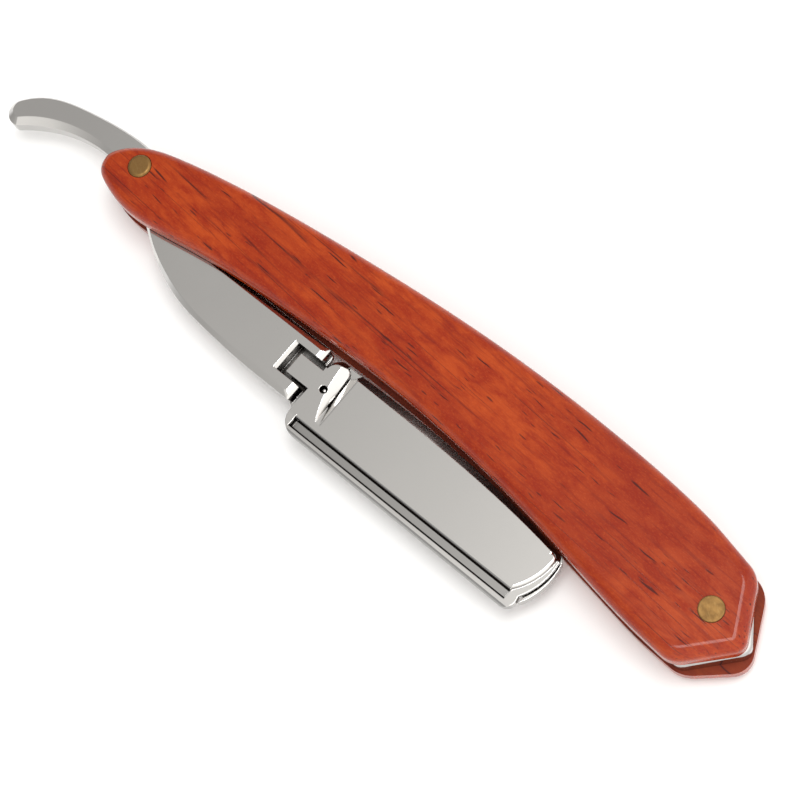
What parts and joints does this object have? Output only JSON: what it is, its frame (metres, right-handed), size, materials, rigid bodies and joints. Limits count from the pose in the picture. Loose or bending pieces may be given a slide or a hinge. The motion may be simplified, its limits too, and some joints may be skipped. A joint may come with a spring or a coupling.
{
  "type": "straight razor",
  "caption": "Barber's straight razor taking a half blade: steel arm with finger rest and hinged clamp cover, pinned between two lacquered wooden scales with a hexagonal end",
  "frame": {"origin": "centre of the razor's outline at the level it lies on, the rear scale's outer face", "axes": "+X from the pivot end of the handle to its hexagonal end, +Y to the convex back of the handle, +Z out of the front scale"},
  "size_m": [0.1542, 0.0308, 0.0113],
  "materials": {
    "wood": "lacquered red-brown hardwood",
    "brass": "aged",
    "steel": "polished stainless steel"
  },
  "bodies": {
    "handle": {"scale_front": "wood", "scale_rear": "wood", "end_spacer": "steel", "pivot_rivet_male": "brass", "pivot_rivet_female": "brass", "end_rivet_male": "brass", "end_rivet_female": "brass", "pivot_washer_front": "brass", "pivot_washer_rear": "brass"},
    "blade_arm": {"blade_arm": "steel", "blade_studs": "steel", "latch_stud": "steel"},
    "clamp_cover": {"clamp_cover": "steel", "cover_hinge_pin": "steel"}
  },
  "joints": [
    {"name": "arm_pivot", "type": "hinge", "parent": "handle", "child": "blade_arm", "pos_m": [-0.0487, 0.0028, 0.0055], "axis": [0, 0, -1], "range_deg": [0, 270]},
    {"name": "cover_hinge", "type": "hinge", "parent": "blade_arm", "child": "clamp_cover", "pos_m": [0.021, -0.0135, 0.0055], "axis": [1, 0, 0], "range_deg": [0, 90]}
  ]
}
